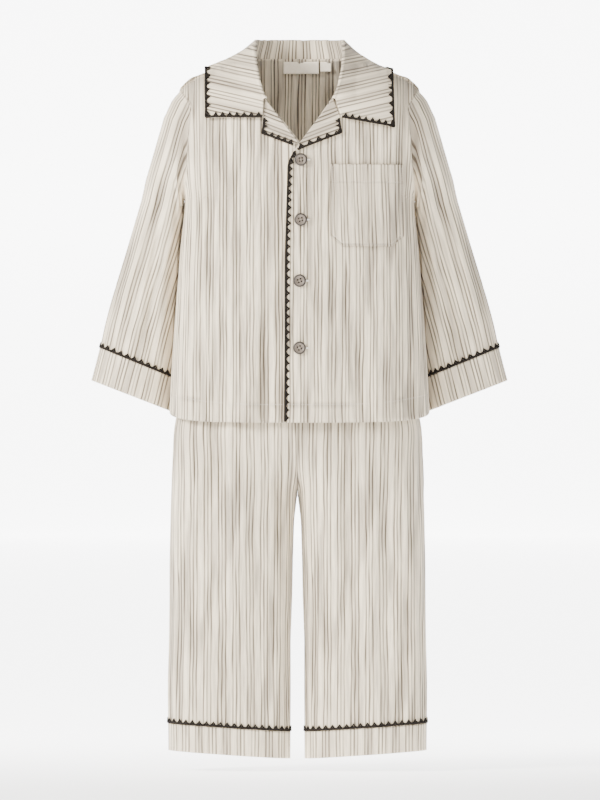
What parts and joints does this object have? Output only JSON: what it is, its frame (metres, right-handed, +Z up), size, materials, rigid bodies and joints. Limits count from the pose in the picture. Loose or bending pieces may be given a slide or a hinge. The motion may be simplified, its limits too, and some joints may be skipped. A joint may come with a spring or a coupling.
{
  "type": "pyjama set",
  "caption": "Child's pyjama set: long-sleeved button-front jacket with notched collar, chest pocket and pointed dark trim, over straight trousers; filled out, hollow.",
  "frame": {"origin": "middle of the neck at shoulder height, where the wearer's shoulders carry the jacket", "axes": "+X to the wearer's left, -Y out of the front, +Z up"},
  "size_m": [0.4808, 0.1513, 0.8288],
  "materials": {
    "striped_cloth": "cream crinkled two-layer cotton with woven grey-brown stripes",
    "band_cloth": "the same striped cotton, cut for bands",
    "collar_cloth": "the same striped cotton, stripes running across",
    "trim_yarn": "near-black brown crochet edging yarn",
    "button": "taupe, satin, darker rim",
    "label_tape": "plain woven tape, blank"
  },
  "bodies": {
    "root": {"front_under": "striped_cloth", "front_over": "striped_cloth", "back": "striped_cloth", "sleeve_right": "striped_cloth", "sleeve_left": "striped_cloth", "cuff_right": "band_cloth", "cuff_left": "band_cloth", "collar": "collar_cloth", "lapel_right": "collar_cloth", "lapel_left": "collar_cloth", "pocket": "striped_cloth", "button_1": "button", "button_2": "button", "button_3": "button", "button_4": "button", "neck_label": "label_tape", "size_label": "label_tape", "trim_collar": "trim_yarn", "trim_lapel_right": "trim_yarn", "trim_lapel_left": "trim_yarn", "trim_placket": "trim_yarn", "trim_cuff_right": "trim_yarn", "trim_cuff_left": "trim_yarn", "trim_leg_right": "trim_yarn", "trim_leg_left": "trim_yarn", "trouser_front_right": "striped_cloth", "trouser_back_right": "striped_cloth", "trouser_front_left": "striped_cloth", "trouser_back_left": "striped_cloth", "leg_band_right": "band_cloth", "leg_band_left": "band_cloth", "waistband": "band_cloth"}
  },
  "joints": []
}
